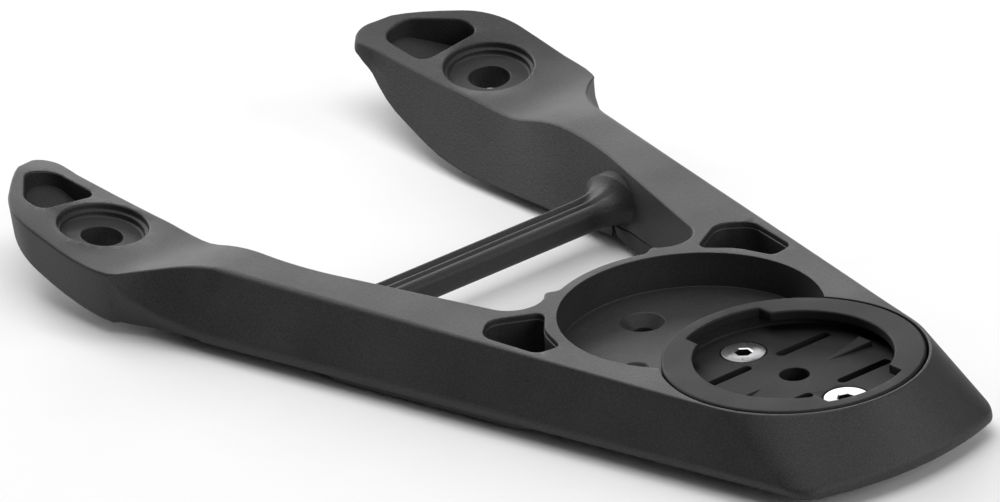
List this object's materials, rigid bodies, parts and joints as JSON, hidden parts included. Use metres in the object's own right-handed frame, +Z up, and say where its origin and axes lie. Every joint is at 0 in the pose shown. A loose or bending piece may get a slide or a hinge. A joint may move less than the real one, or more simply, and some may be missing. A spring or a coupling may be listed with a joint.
{
  "type": "cycling computer handlebar mount",
  "caption": "V-shaped out-front handlebar mount: a quarter-turn puck at the nose holds a cycling computer, and two splayed arms end in bolted pads.",
  "frame": {"origin": "under the middle of the object's bounding box, on the surface it stands on", "axes": "+Z up, +Y from the puck at the nose back to the pads at the handlebar, +X across"},
  "size_m": [0.0888, 0.1472, 0.0126],
  "materials": {
    "moulding": "fine matte grain, charcoal",
    "plate": "fine matte grain, charcoal",
    "puck": "matte, near black",
    "puck_screw": "bright stainless steel",
    "insert": "turned brass",
    "plate_screw": "black oxide steel"
  },
  "bodies": {
    "frame": {"mount_frame": "moulding", "left_backing_plate": "plate", "right_backing_plate": "plate", "threaded_insert_1": "insert", "threaded_insert_2": "insert", "threaded_insert_3": "insert", "threaded_insert_4": "insert", "threaded_insert_5": "insert", "threaded_insert_6": "insert", "threaded_insert_7": "insert", "left_plate_screw_front": "plate_screw", "left_plate_screw_rear": "plate_screw", "right_plate_screw_front": "plate_screw", "right_plate_screw_rear": "plate_screw"},
    "puck": {"quarter_turn_puck": "puck"},
    "front_screw": {"front_puck_screw": "puck_screw"},
    "rear_screw": {"rear_puck_screw": "puck_screw"}
  },
  "joints": [
    {"name": "puck_lift", "type": "slide", "parent": "frame", "child": "puck", "axis": [0, 0, 1], "range_m": [0, 0.009]},
    {"name": "front_screw_turn", "type": "hinge", "parent": "puck", "child": "front_screw", "pos_m": [0, -0.05881, 0.0077], "axis": [0, 0, 1], "continuous": true},
    {"name": "rear_screw_turn", "type": "hinge", "parent": "puck", "child": "rear_screw", "pos_m": [0, -0.0385, 0.0077], "axis": [0, 0, 1], "continuous": true}
  ]
}
